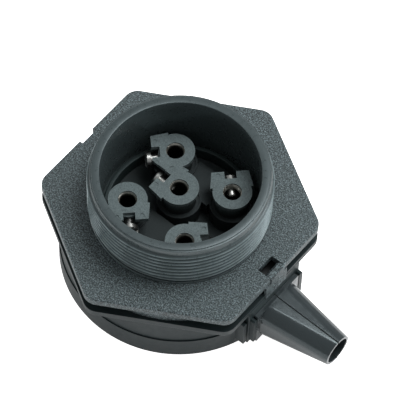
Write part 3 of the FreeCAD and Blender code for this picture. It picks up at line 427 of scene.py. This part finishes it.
def moulded_skin_group():
    """Grain, tone and gloss of a moulded plastic skin."""
    group = bpy.data.node_groups.get("moulded_skin")
    if group:
        return group
    group, given, result = shader_group(
        "moulded_skin",
        (
            ("Vector", "NodeSocketVector", None),
            ("Colour", "NodeSocketColor", (0.1, 0.1, 0.1, 1)),
            ("Grain Scale", "NodeSocketFloat", 3000.0),
            ("Grain Contrast", "NodeSocketFloat", 0.3),
            ("Roughness", "NodeSocketFloat", 0.45),
            ("Roughness Spread", "NodeSocketFloat", 0.12),
        ),
        (("Colour", "NodeSocketColor"), ("Roughness", "NodeSocketFloat"), ("Height", "NodeSocketFloat")),
    )
    fine = noise(group, given["Vector"], given["Grain Scale"], 3.0, 0.6)
    coarse = noise(group, given["Vector"], maths(group, "MULTIPLY", given["Grain Scale"], 0.33), 2.0)
    cloud = noise(group, given["Vector"], 60.0, 3.0)
    grain = maths(group, "ADD", maths(group, "MULTIPLY", fine, 0.85), maths(group, "MULTIPLY", coarse, 0.15))
    swing = maths(group, "MULTIPLY", maths(group, "SUBTRACT", grain, 0.5), given["Grain Contrast"])
    drift = maths(group, "MULTIPLY", maths(group, "SUBTRACT", cloud, 0.5), 0.25)
    tone = maths(group, "MAXIMUM", maths(group, "ADD", maths(group, "ADD", swing, drift), 1.0), 0.08)
    tint = group.nodes.new("ShaderNodeVectorMath")
    tint.operation = "SCALE"
    group.links.new(given["Colour"], tint.inputs[0])
    group.links.new(tone, tint.inputs["Scale"])
    group.links.new(tint.outputs[0], result.inputs["Colour"])
    spread = maths(group, "MULTIPLY", maths(group, "SUBTRACT", coarse, 0.5), given["Roughness Spread"])
    group.links.new(maths(group, "ADD", given["Roughness"], spread), result.inputs["Roughness"])
    group.links.new(grain, result.inputs["Height"])
    return group


def edge_highlight_group():
    """Mask of the edges for a painted highlight, broken up by noise."""
    group = bpy.data.node_groups.get("exposed_edges")
    if group:
        return group
    group, given, result = shader_group(
        "exposed_edges",
        (
            ("Vector", "NodeSocketVector", None),
            ("Width", "NodeSocketFloat", 0.0003),
            ("Amount", "NodeSocketFloat", 0.4),
        ),
        (("Mask", "NodeSocketFloat"),),
    )
    bevel = group.nodes.new("ShaderNodeBevel")
    bevel.samples = 4
    group.links.new(given["Width"], bevel.inputs["Radius"])
    flat = group.nodes.new("ShaderNodeNewGeometry")
    facing = group.nodes.new("ShaderNodeVectorMath")
    facing.operation = "DOT_PRODUCT"
    group.links.new(bevel.outputs[0], facing.inputs[0])
    group.links.new(flat.outputs["Normal"], facing.inputs[1])
    bend = maths(group, "SUBTRACT", 1.0, facing.outputs["Value"])
    edge = eased(group, bend, 0.02, 0.22)
    broken = eased(group, noise(group, given["Vector"], 420.0, 4.0), 0.3, 0.62)
    mask = maths(group, "MULTIPLY", maths(group, "MULTIPLY", edge, broken), given["Amount"])
    group.links.new(mask, result.inputs["Mask"])
    return group


def crest_highlight_group():
    """Masks for a painted highlight on a thread's crests, broken up by noise, and for painted shade in its
    grooves, both by the distance from Z.
    """
    group = bpy.data.node_groups.get("thread_crests")
    if group:
        return group
    group, given, result = shader_group(
        "thread_crests",
        (
            ("Vector", "NodeSocketVector", None),
            ("From", "NodeSocketFloat", 0.0),
            ("To", "NodeSocketFloat", 0.0),
            ("Top", "NodeSocketFloat", 1.0),
        ),
        (("Crest", "NodeSocketFloat"), ("Groove", "NodeSocketFloat")),
    )
    across, up, height = split(group, given["Vector"])
    radius = from_axis(group, across, up)
    high = eased(group, radius, given["From"], given["To"])
    broken = eased(group, noise(group, given["Vector"], 350.0, 3.0), 0.0, 0.6)
    group.links.new(maths(group, "MULTIPLY", high, broken), result.inputs["Crest"])
    fade = maths(group, "SUBTRACT", given["From"], GROOVE_FADE)
    low = maths(group, "SUBTRACT", 1.0, eased(group, radius, fade, given["From"]))
    limit = maths(group, "SUBTRACT", given["From"], GROOVE_LIMIT)
    outside = maths(group, "GREATER_THAN", radius, limit)
    under = maths(group, "LESS_THAN", height, given["Top"])
    on_thread = maths(group, "MULTIPLY", outside, under)
    group.links.new(maths(group, "MULTIPLY", low, on_thread), result.inputs["Groove"])
    return group


def placed_group(tree, group, values):
    """Put a shader group in a material and set its inputs."""
    node = tree.nodes.new("ShaderNodeGroup")
    node.node_tree = group
    for name, value in values.items():
        if hasattr(value, "links"):
            tree.links.new(value, node.inputs[name])
        else:
            node.inputs[name].default_value = value
    return node


def shade(tone, scale, lift=0.0):
    """Opaque colour from a tone, scaled and lifted."""
    return (*(min(1.0, scale * value + lift) for value in tone), 1.0)


def add_thread_highlight_and_shade(tree, where, tone, paint, gloss, start):
    """Painted highlight on the crests and painted shade in the dull grooves; gives the colour and the
    roughness.
    """
    crest = placed_group(tree, crest_highlight_group(), {
        "Vector": where, "From": start, "To": start + CREST_BLEND, "Top": CREST_TOP})
    # Painted shade: the grooves darkened to 0.12 of the tone.
    paint = mixed(tree, "MIX", crest.outputs["Groove"], paint, shade(tone, 0.12))
    # Painted highlight: the crests lightened to 3.2 times the tone.
    paint = mixed(tree, "MIX", crest.outputs["Crest"], paint, shade(tone, 3.2, 0.01))
    return paint, maths(tree, "ADD", gloss, maths(tree, "MULTIPLY", crest.outputs["Groove"], 0.6))


def add_painted_recess_shade(tree, where, tone, paint, low, high):
    """Painted shade that thickens from the height high down to low; gives the colour."""
    unshaded = eased(tree, split(tree, where)["Z"], low, high)
    return mixed(tree, "MIX", unshaded, shade(tone, 0.15), paint)


def add_seam(tree, where, paint, gloss, width):
    """Dark, dull line at Y = 0; gives the colour and the roughness."""
    away = eased(tree, maths(tree, "ABSOLUTE", split(tree, where)["Y"]), 0.5 * width, width)
    paint = mixed(tree, "MIX", away, BLACK, paint)
    return paint, maths(tree, "ADD", gloss, maths(tree, "SUBTRACT", 1.0, away))


def new_material(name, tone):
    """Material with a Principled shader; gives (material, tree, shader, Object coordinates)."""
    material = bpy.data.materials.new(name)
    material.use_nodes = True
    material.diffuse_color = (*tone, 1.0)
    tree = material.node_tree
    where = tree.nodes.new("ShaderNodeTexCoord").outputs["Object"]
    return material, tree, tree.nodes["Principled BSDF"], where


def add_relief(tree, shader, height, depth):
    """Bump of a height mask; depth is in metres."""
    relief = tree.nodes.new("ShaderNodeBump")
    relief.inputs["Strength"].default_value = 1.0
    relief.inputs["Distance"].default_value = depth
    tree.links.new(height, relief.inputs["Height"])
    tree.links.new(relief.outputs[0], shader.inputs["Normal"])


def plastic(name, tone, cast, roughness, grain_scale, grain_contrast, bump, edge_highlight, spread=0.12,
            crest_highlight_from=None, shine=0.5, painted_shade_span=None, seam=None):
    """Moulded plastic: tone is a linear colour, bump the grain's height, and the thread's radius in metres
    marks where its crests get a painted highlight and its grooves painted shade.

    The name must differ from those of the frame's own materials, or the plain one would be used.
    """
    if name in bpy.data.materials:
        return bpy.data.materials[name]
    material, tree, shader, where = new_material(name, tone)
    skin = placed_group(tree, moulded_skin_group(), {
        "Vector": where, "Colour": (*tone, 1.0), "Grain Scale": grain_scale,
        "Grain Contrast": grain_contrast, "Roughness": roughness, "Roughness Spread": spread})
    edges = placed_group(tree, edge_highlight_group(), {"Vector": where, "Amount": edge_highlight})
    # Painted highlight: the edges lightened to 1.9 times the tone.
    paint = mixed(tree, "MIX", edges.outputs["Mask"], skin.outputs["Colour"], shade(tone, 1.9, 0.02))
    gloss = skin.outputs["Roughness"]
    # Painted highlight on the thread's crests and painted shade in its grooves.
    if crest_highlight_from:
        paint, gloss = add_thread_highlight_and_shade(tree, where, tone, paint, gloss, crest_highlight_from)
    # Painted shade: darker towards the foot of the recess, where shade falls.
    if painted_shade_span:
        paint = add_painted_recess_shade(tree, where, tone, paint, *painted_shade_span)
    if seam:
        paint, gloss = add_seam(tree, where, paint, gloss, seam)
    tree.links.new(paint, shader.inputs["Base Color"])
    tree.links.new(gloss, shader.inputs["Roughness"])
    shader.inputs["Specular IOR Level"].default_value = shine
    shader.inputs["Specular Tint"].default_value = (*cast, 1.0)
    add_relief(tree, shader, skin.outputs["Height"], bump)
    return material


def plated_metal(name, tone, roughness, line_scale, dark_below=LOWER_THAN_ALL, dark_depth=2.0 * MM):
    """Nickel plate over turned metal: stains, a broken gloss, and painted shade that thickens below a
    height.
    """
    if name in bpy.data.materials:
        return bpy.data.materials[name]
    material, tree, shader, where = new_material(name, tone)
    skin = placed_group(tree, moulded_skin_group(), {
        "Vector": where, "Colour": (*tone, 1.0), "Grain Scale": line_scale,
        "Grain Contrast": 0.2, "Roughness": roughness, "Roughness Spread": 0.25})
    stain = eased(tree, noise(tree, where, 900.0, 4.0, 0.65), 0.45, 0.75)
    stained = mixed(tree, "MIX", maths(tree, "MULTIPLY", stain, 0.5), skin.outputs["Colour"],
                    shade(tone, 0.55))
    # Painted shade: darkened to 0.06 of the tone below dark_below, where the bores are in shade.
    unshaded = eased(tree, split(tree, where)["Z"], dark_below - dark_depth, dark_below)
    tree.links.new(mixed(tree, "MIX", unshaded, shade(tone, 0.06), stained), shader.inputs["Base Color"])
    tree.links.new(skin.outputs["Roughness"], shader.inputs["Roughness"])
    shader.inputs["Metallic"].default_value = 1.0
    add_relief(tree, shader, skin.outputs["Height"], PLATE_RELIEF)
    return material


def grained_plastic(f):
    """Flange and latch: coarse spark-eroded grain."""
    return plastic("grained_charcoal", f.housing, f.cast, roughness=0.48, grain_scale=2200.0,
                   grain_contrast=17.0, bump=0.60 * MM * f.grain, edge_highlight=f.edge_highlight)


def satin_thread(f):
    """Collar: smoother, with a painted highlight on the crests and painted shade in the grooves."""
    return plastic("satin_thread", f.thread, f.cast, roughness=0.30, grain_scale=1800.0,
                   grain_contrast=0.3, bump=0.010 * MM, edge_highlight=f.edge_highlight * 0.5, spread=0.2,
                   crest_highlight_from=CREST_RADIUS)


def satin_body(f):
    """Wire chamber and its cover."""
    return plastic("satin_body", f.body, f.cast, roughness=0.42, grain_scale=1500.0,
                   grain_contrast=0.2, bump=0.006 * MM, edge_highlight=f.edge_highlight * 0.4, spread=0.15, shine=0.22)


def insulator_plastic(f):
    """Terminal block, with painted shade darkening it towards its foot."""
    top = frame_top("terminal_block")
    return plastic("insulator", f.insulator, f.cast, roughness=0.5, grain_scale=2400.0,
                   grain_contrast=2.0, bump=0.040 * MM, edge_highlight=f.edge_highlight, shine=0.2,
                   painted_shade_span=(top - 7.0 * MM, top - 0.5 * MM))


def cup_plastic(f):
    """Carrier cup."""
    return plastic("carrier", f.cup, f.cast, roughness=0.5, grain_scale=2000.0,
                   grain_contrast=0.3, bump=0.010 * MM, edge_highlight=f.edge_highlight * 0.6, shine=0.25)


def nozzle_plastic(f):
    """Nozzle's half-shells, with their parting line."""
    return plastic("nozzle_semi_gloss", f.nozzle, f.cast, roughness=0.16, grain_scale=1400.0,
                   grain_contrast=0.2, bump=0.008 * MM, edge_highlight=f.edge_highlight * 0.8, spread=0.18,
                   seam=SEAM_WIDTH)


def seal_rubber(f):
    """Both gaskets."""
    return plastic("soft_rubber", f.seal, f.cast, roughness=0.7, grain_scale=1600.0,
                   grain_contrast=0.4, bump=0.020 * MM, edge_highlight=0.1)


# Pieces


def frame_top(node):
    """Highest point of a CAD node."""
    return max(vertex.co.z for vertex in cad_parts[node].data.vertices)


class CONNECTOR_OT_collar(bpy.types.Operator):
    """Make the threaded collar and the hexagonal flange below it"""

    bl_idname = "connector.collar"
    bl_label = "Flange and Threaded Collar"

    def execute(self, context):
        sizes, finishes = context.scene.connector_collar, context.scene.connector_finishes
        edges = context.scene.connector_edges
        collar = new_mesh("threaded_collar", lathe(collar_profile(sizes), sizes.steps_round))
        values = (sizes.pitch, sizes.depth, sizes.thread_start, sizes.thread_end, sizes.root_radius,
                  sizes.ridge_foot, sizes.ridge_crest)
        item = threaded("threaded_collar", collar, values, satin_thread(finishes))
        smooth(item.data, 40)
        finish_piece(item, "housing", satin_thread(finishes), "grained_plastic", "upper_housing")
        plate = flange_without_collar(sizes)
        moulded_piece("upper_housing", "hexagonal_flange", edges.housing, grained_plastic(finishes),
                      "grained_plastic", shape=plate)
        return {"FINISHED"}


def collar_profile(sizes):
    """Closed profile of the collar, its rim steps and the plain rib below the flange."""
    bore, root, foot = sizes.bore_radius, sizes.root_radius, sizes.foot_radius
    top, step, low = sizes.height, sizes.rim_step, sizes.foot_height
    soft = step / 3
    band_foot = sizes.thread_end - 0.3 * MM
    band = root + soft
    rim = root - step
    points = [
        (bore, -sizes.drop), (bore, -sizes.drop / 2), (bore, 0.0), (bore, top / 3), (bore, 2 * top / 3),
        (bore, top - 2 * soft), (bore + 0.3 * soft, top - 0.8 * soft), (bore + 0.8 * soft, top - 0.3 * soft),
        (bore + 2 * soft, top),
        (rim - 2 * soft, top), (rim - 0.7 * soft, top - 0.3 * soft), (rim - 0.2 * soft, top - 0.9 * soft),
        (rim, top - step),
        (band - soft, top - step), (band - 0.3 * soft, top - step - 0.3 * soft), (band, top - step - soft),
        (band, band_foot + soft), (root, band_foot),
    ]
    rows = round((band_foot - low) / sizes.pitch * sizes.steps_per_pitch)
    for number in range(1, rows):
        points.append((root, band_foot + (low - band_foot) * number / rows))
    points += [
        (root, low), (foot - soft, low), (foot, low - soft), (foot, -sizes.drop / 4),
        (rim, -sizes.drop / 4), (rim, -sizes.drop),
    ]
    return points


def flange_without_collar(sizes):
    """Welded copy of the upper housing, its collar cut away and the hole's wall closed."""
    shape = welded_copy("upper_housing")
    limit = sizes.foot_radius + 0.01 * MM

    def belongs_to_collar(face):
        """Whether a face is inside the foot's radius or above the flange."""
        inside = all(Vector(v.co[:2]).length < limit for v in face.verts)
        return inside or any(v.co.z > 0.01 * MM for v in face.verts)

    gone = [face for face in shape.faces if belongs_to_collar(face)]
    bmesh.ops.delete(shape, geom=gone, context="FACES")
    rims = [edge for edge in shape.edges if edge.is_boundary]
    bmesh.ops.bridge_loops(shape, edges=rims)
    bmesh.ops.recalc_face_normals(shape, faces=shape.faces)
    return shape


class CONNECTOR_OT_lower_housing(bpy.types.Operator):
    """Make the lower plate and wire chamber, its cover and both gaskets"""

    bl_idname = "connector.lower_housing"
    bl_label = "Lower Housing, Cover and Seals"

    def execute(self, context):
        f, edges = context.scene.connector_finishes, context.scene.connector_edges
        moulded_piece("lower_housing", "wire_chamber", edges.housing, satin_body(f), "satin_plastic")
        moulded_piece("bottom_cover", "cover_plate", edges.housing, satin_body(f), "satin_plastic")
        moulded_piece("cover_seal", "cover_gasket", 0, seal_rubber(f), "seal_rubber")
        moulded_piece("housing_seal", "housing_gasket", 0, seal_rubber(f), "seal_rubber")
        return {"FINISHED"}


class CONNECTOR_OT_latch(bpy.types.Operator):
    """Make the release latch at the flange's edge"""

    bl_idname = "connector.latch"
    bl_label = "Release Latch"

    def execute(self, context):
        f, edges = context.scene.connector_finishes, context.scene.connector_edges
        moulded_piece("release_latch", "latch_arm", edges.small, grained_plastic(f),
                      "grained_plastic", "latch")
        return {"FINISHED"}


class CONNECTOR_OT_terminal_block(bpy.types.Operator):
    """Make the carrier cup and the terminal block"""

    bl_idname = "connector.terminal_block"
    bl_label = "Carrier Cup and Terminal Block"

    def execute(self, context):
        f, edges = context.scene.connector_finishes, context.scene.connector_edges
        moulded_piece("carrier_cup", "insulating_cup", edges.insulator, cup_plastic(f), "insulator_plastic")
        moulded_piece("terminal_block", "terminal_towers", edges.insulator, insulator_plastic(f),
                      "insulator_plastic")
        return {"FINISHED"}


class CONNECTOR_OT_contacts(bpy.types.Operator):
    """Make the contact sleeves and the wire guards"""

    bl_idname = "connector.contacts"
    bl_label = "Contact Sleeves and Wire Guards"

    def execute(self, context):
        f, edges = context.scene.connector_finishes, context.scene.connector_edges
        # Painted shade inside the sleeves' bores, from just under their top.
        painted_shade_line = frame_top("contact_sleeve_1") - 0.5 * MM
        metal = plated_metal("plated_sleeve", f.sleeve, roughness=0.34, line_scale=2200.0,
                             dark_below=painted_shade_line)
        for number in TERMINALS:
            moulded_piece(f"contact_sleeve_{number}", f"wire_sleeve_{number}", edges.metal, metal,
                          "nickel_sleeve")
            moulded_piece(f"wire_guard_{number}", f"pressure_disc_{number}", edges.metal, metal,
                          "nickel_sleeve", f"guard_{number}")
        return {"FINISHED"}


class CONNECTOR_OT_screws(bpy.types.Operator):
    """Make the threaded clamp screws"""

    bl_idname = "connector.screws"
    bl_label = "Clamp Screws"

    def execute(self, context):
        f, edges = context.scene.connector_finishes, context.scene.connector_edges
        metal = plated_metal("plated_screw", f.screw, roughness=0.30, line_scale=3000.0)
        for number in TERMINALS:
            moulded_piece(f"clamp_screw_{number}", f"cheese_head_screw_{number}", edges.screw, metal,
                          "nickel_screw", f"screw_{number}")
        return {"FINISHED"}


class CONNECTOR_OT_nozzle(bpy.types.Operator):
    """Make the two half-shells of the cable nozzle"""

    bl_idname = "connector.nozzle"
    bl_label = "Cable Nozzle"

    def execute(self, context):
        f, edges = context.scene.connector_finishes, context.scene.connector_edges
        for side in ("left", "right"):
            moulded_piece(f"cable_nozzle_{side}", f"nozzle_shell_{side}", edges.small, nozzle_plastic(f),
                          "nozzle_plastic")
        return {"FINISHED"}


# Stage


def view_axes(studio):
    """Right, up and back directions of the camera."""
    a, e, r = studio.azimuth, studio.elevation, studio.roll
    back = Vector((math.sin(a) * math.cos(e), -math.cos(a) * math.cos(e), math.sin(e)))
    level = Vector((math.cos(a), math.sin(a), 0.0))
    steep = back.cross(level)
    right = math.cos(r) * level + math.sin(r) * steep
    return right, back.cross(right), back


def turned_to(right, up, back, place):
    """Matrix of an object whose Z axis is back."""
    turned = Matrix((right, up, back)).transposed().to_4x4()
    turned.translation = place
    return turned


def add_camera(studio):
    """Camera at the studio's bearing, height, tilt and distance."""
    right, up, back = view_axes(studio)
    lens = bpy.data.cameras.new("camera")
    lens.lens = studio.lens
    lens.clip_end = 10.0
    camera = bpy.data.objects.new("camera", lens)
    bpy.context.scene.collection.objects.link(camera)
    aim = right * studio.aim_right + up * studio.aim_up
    camera.matrix_world = turned_to(right, up, back, aim + back * studio.distance)
    bpy.context.scene.camera = camera


def add_softbox(name, place, size, power, target=(0.0, 0.0, 0.0)):
    """Square area light that faces the target; place and size are in metres."""
    light = bpy.data.lights.new(name, "AREA")
    light.shape = "RECTANGLE"
    light.size, light.size_y = size
    light.energy = power
    item = bpy.data.objects.new(name, light)
    bpy.context.scene.collection.objects.link(item)
    item.location = place
    item.rotation_euler = (Vector(place) - Vector(target)).to_track_quat("Z", "Y").to_euler()
    return item


def add_floor(f, low):
    """Large pale floor just under the base, brighter to the camera and clear when seen from below."""
    shape = bmesh.new()
    bmesh.ops.create_grid(shape, x_segments=8, y_segments=8, size=3.0)
    bmesh.ops.translate(shape, verts=shape.verts, vec=(0, 0, low))
    floor = new_object("studio_floor", new_mesh("studio_floor", shape))
    material = bpy.data.materials.new("studio_floor")
    material.use_nodes = True
    tree = material.node_tree
    shader = tree.nodes["Principled BSDF"]
    shader.inputs["Base Color"].default_value = (*f.floor, 1.0)
    shader.inputs["Roughness"].default_value = 0.9
    shader.inputs["Emission Color"].default_value = (1.0, 1.0, 1.0, 1.0)
    seen = tree.nodes.new("ShaderNodeLightPath").outputs["Is Camera Ray"]
    glow = maths(tree, "ADD", maths(tree, "MULTIPLY", seen, FLOOR_GLOW_SEEN), FLOOR_GLOW)
    tree.links.new(glow, shader.inputs["Emission Strength"])
    behind = tree.nodes.new("ShaderNodeNewGeometry").outputs["Backfacing"]
    tree.links.new(maths(tree, "SUBTRACT", 1.0, behind), shader.inputs["Alpha"])
    floor.data.materials.append(material)


class CONNECTOR_OT_stage(bpy.types.Operator):
    """Set up the floor, the soft lights and the camera"""

    bl_idname = "connector.stage"
    bl_label = "Studio"

    def execute(self, context):
        studio, f = context.scene.connector_studio, context.scene.connector_finishes
        add_camera(studio)
        add_floor(f, CAD_BOX[0].z - FLOOR_DROP)
        right, up, back = view_axes(studio)
        level = Vector((right.x, right.y, 0.0)).normalized()
        ahead = Vector((-back.x, -back.y, 0.0)).normalized()
        for name, across, forward, height, size in SOFTBOXES:
            place = level * across + ahead * forward + Vector((0, 0, height))
            add_softbox(f"{name}_softbox", place, size, getattr(studio, name))
        world = bpy.data.worlds.new("studio")
        context.scene.world = world
        world.use_nodes = True
        world.node_tree.nodes["Background"].inputs["Color"].default_value = (1.0, 1.0, 1.0, 1.0)
        world.node_tree.nodes["Background"].inputs["Strength"].default_value = studio.world
        context.scene.view_settings.view_transform = "Standard"
        return {"FINISHED"}


OPERATORS = (
    CONNECTOR_OT_collar,
    CONNECTOR_OT_lower_housing,
    CONNECTOR_OT_latch,
    CONNECTOR_OT_terminal_block,
    CONNECTOR_OT_contacts,
    CONNECTOR_OT_screws,
    CONNECTOR_OT_nozzle,
    CONNECTOR_OT_stage,
)


class CONNECTOR_PT_panel(bpy.types.Panel):
    """Sizes, colours and pieces of the connector"""

    bl_idname = "CONNECTOR_PT_panel"
    bl_label = "Wiring Connector"
    bl_space_type = "VIEW_3D"
    bl_region_type = "UI"
    bl_category = "Connector"

    def draw(self, context):
        for operator in OPERATORS:
            self.layout.operator(operator.bl_idname)
        for name in GROUPS:
            box = self.layout.box()
            group = getattr(context.scene, name)
            for prop in group.__annotations__:
                box.prop(group, prop)


GROUPS = {
    "connector_collar": CollarSizes,
    "connector_edges": EdgeSizes,
    "connector_finishes": Finishes,
    "connector_studio": Studio,
}


def register():
    """Register the classes and put the sizes on the scene."""
    for cls in (*GROUPS.values(), *OPERATORS, CONNECTOR_PT_panel):
        bpy.utils.register_class(cls)
    for name, cls in GROUPS.items():
        setattr(bpy.types.Scene, name, PointerProperty(type=cls))


def unregister():
    """Take back what register does."""
    for name in GROUPS:
        delattr(bpy.types.Scene, name)
    for cls in reversed((*GROUPS.values(), *OPERATORS, CONNECTOR_PT_panel)):
        bpy.utils.unregister_class(cls)


def main():
    register()
    for operator in OPERATORS:
        getattr(bpy.ops.connector, operator.bl_idname.split(".")[1])()


if __name__ == "__main__":
    main()
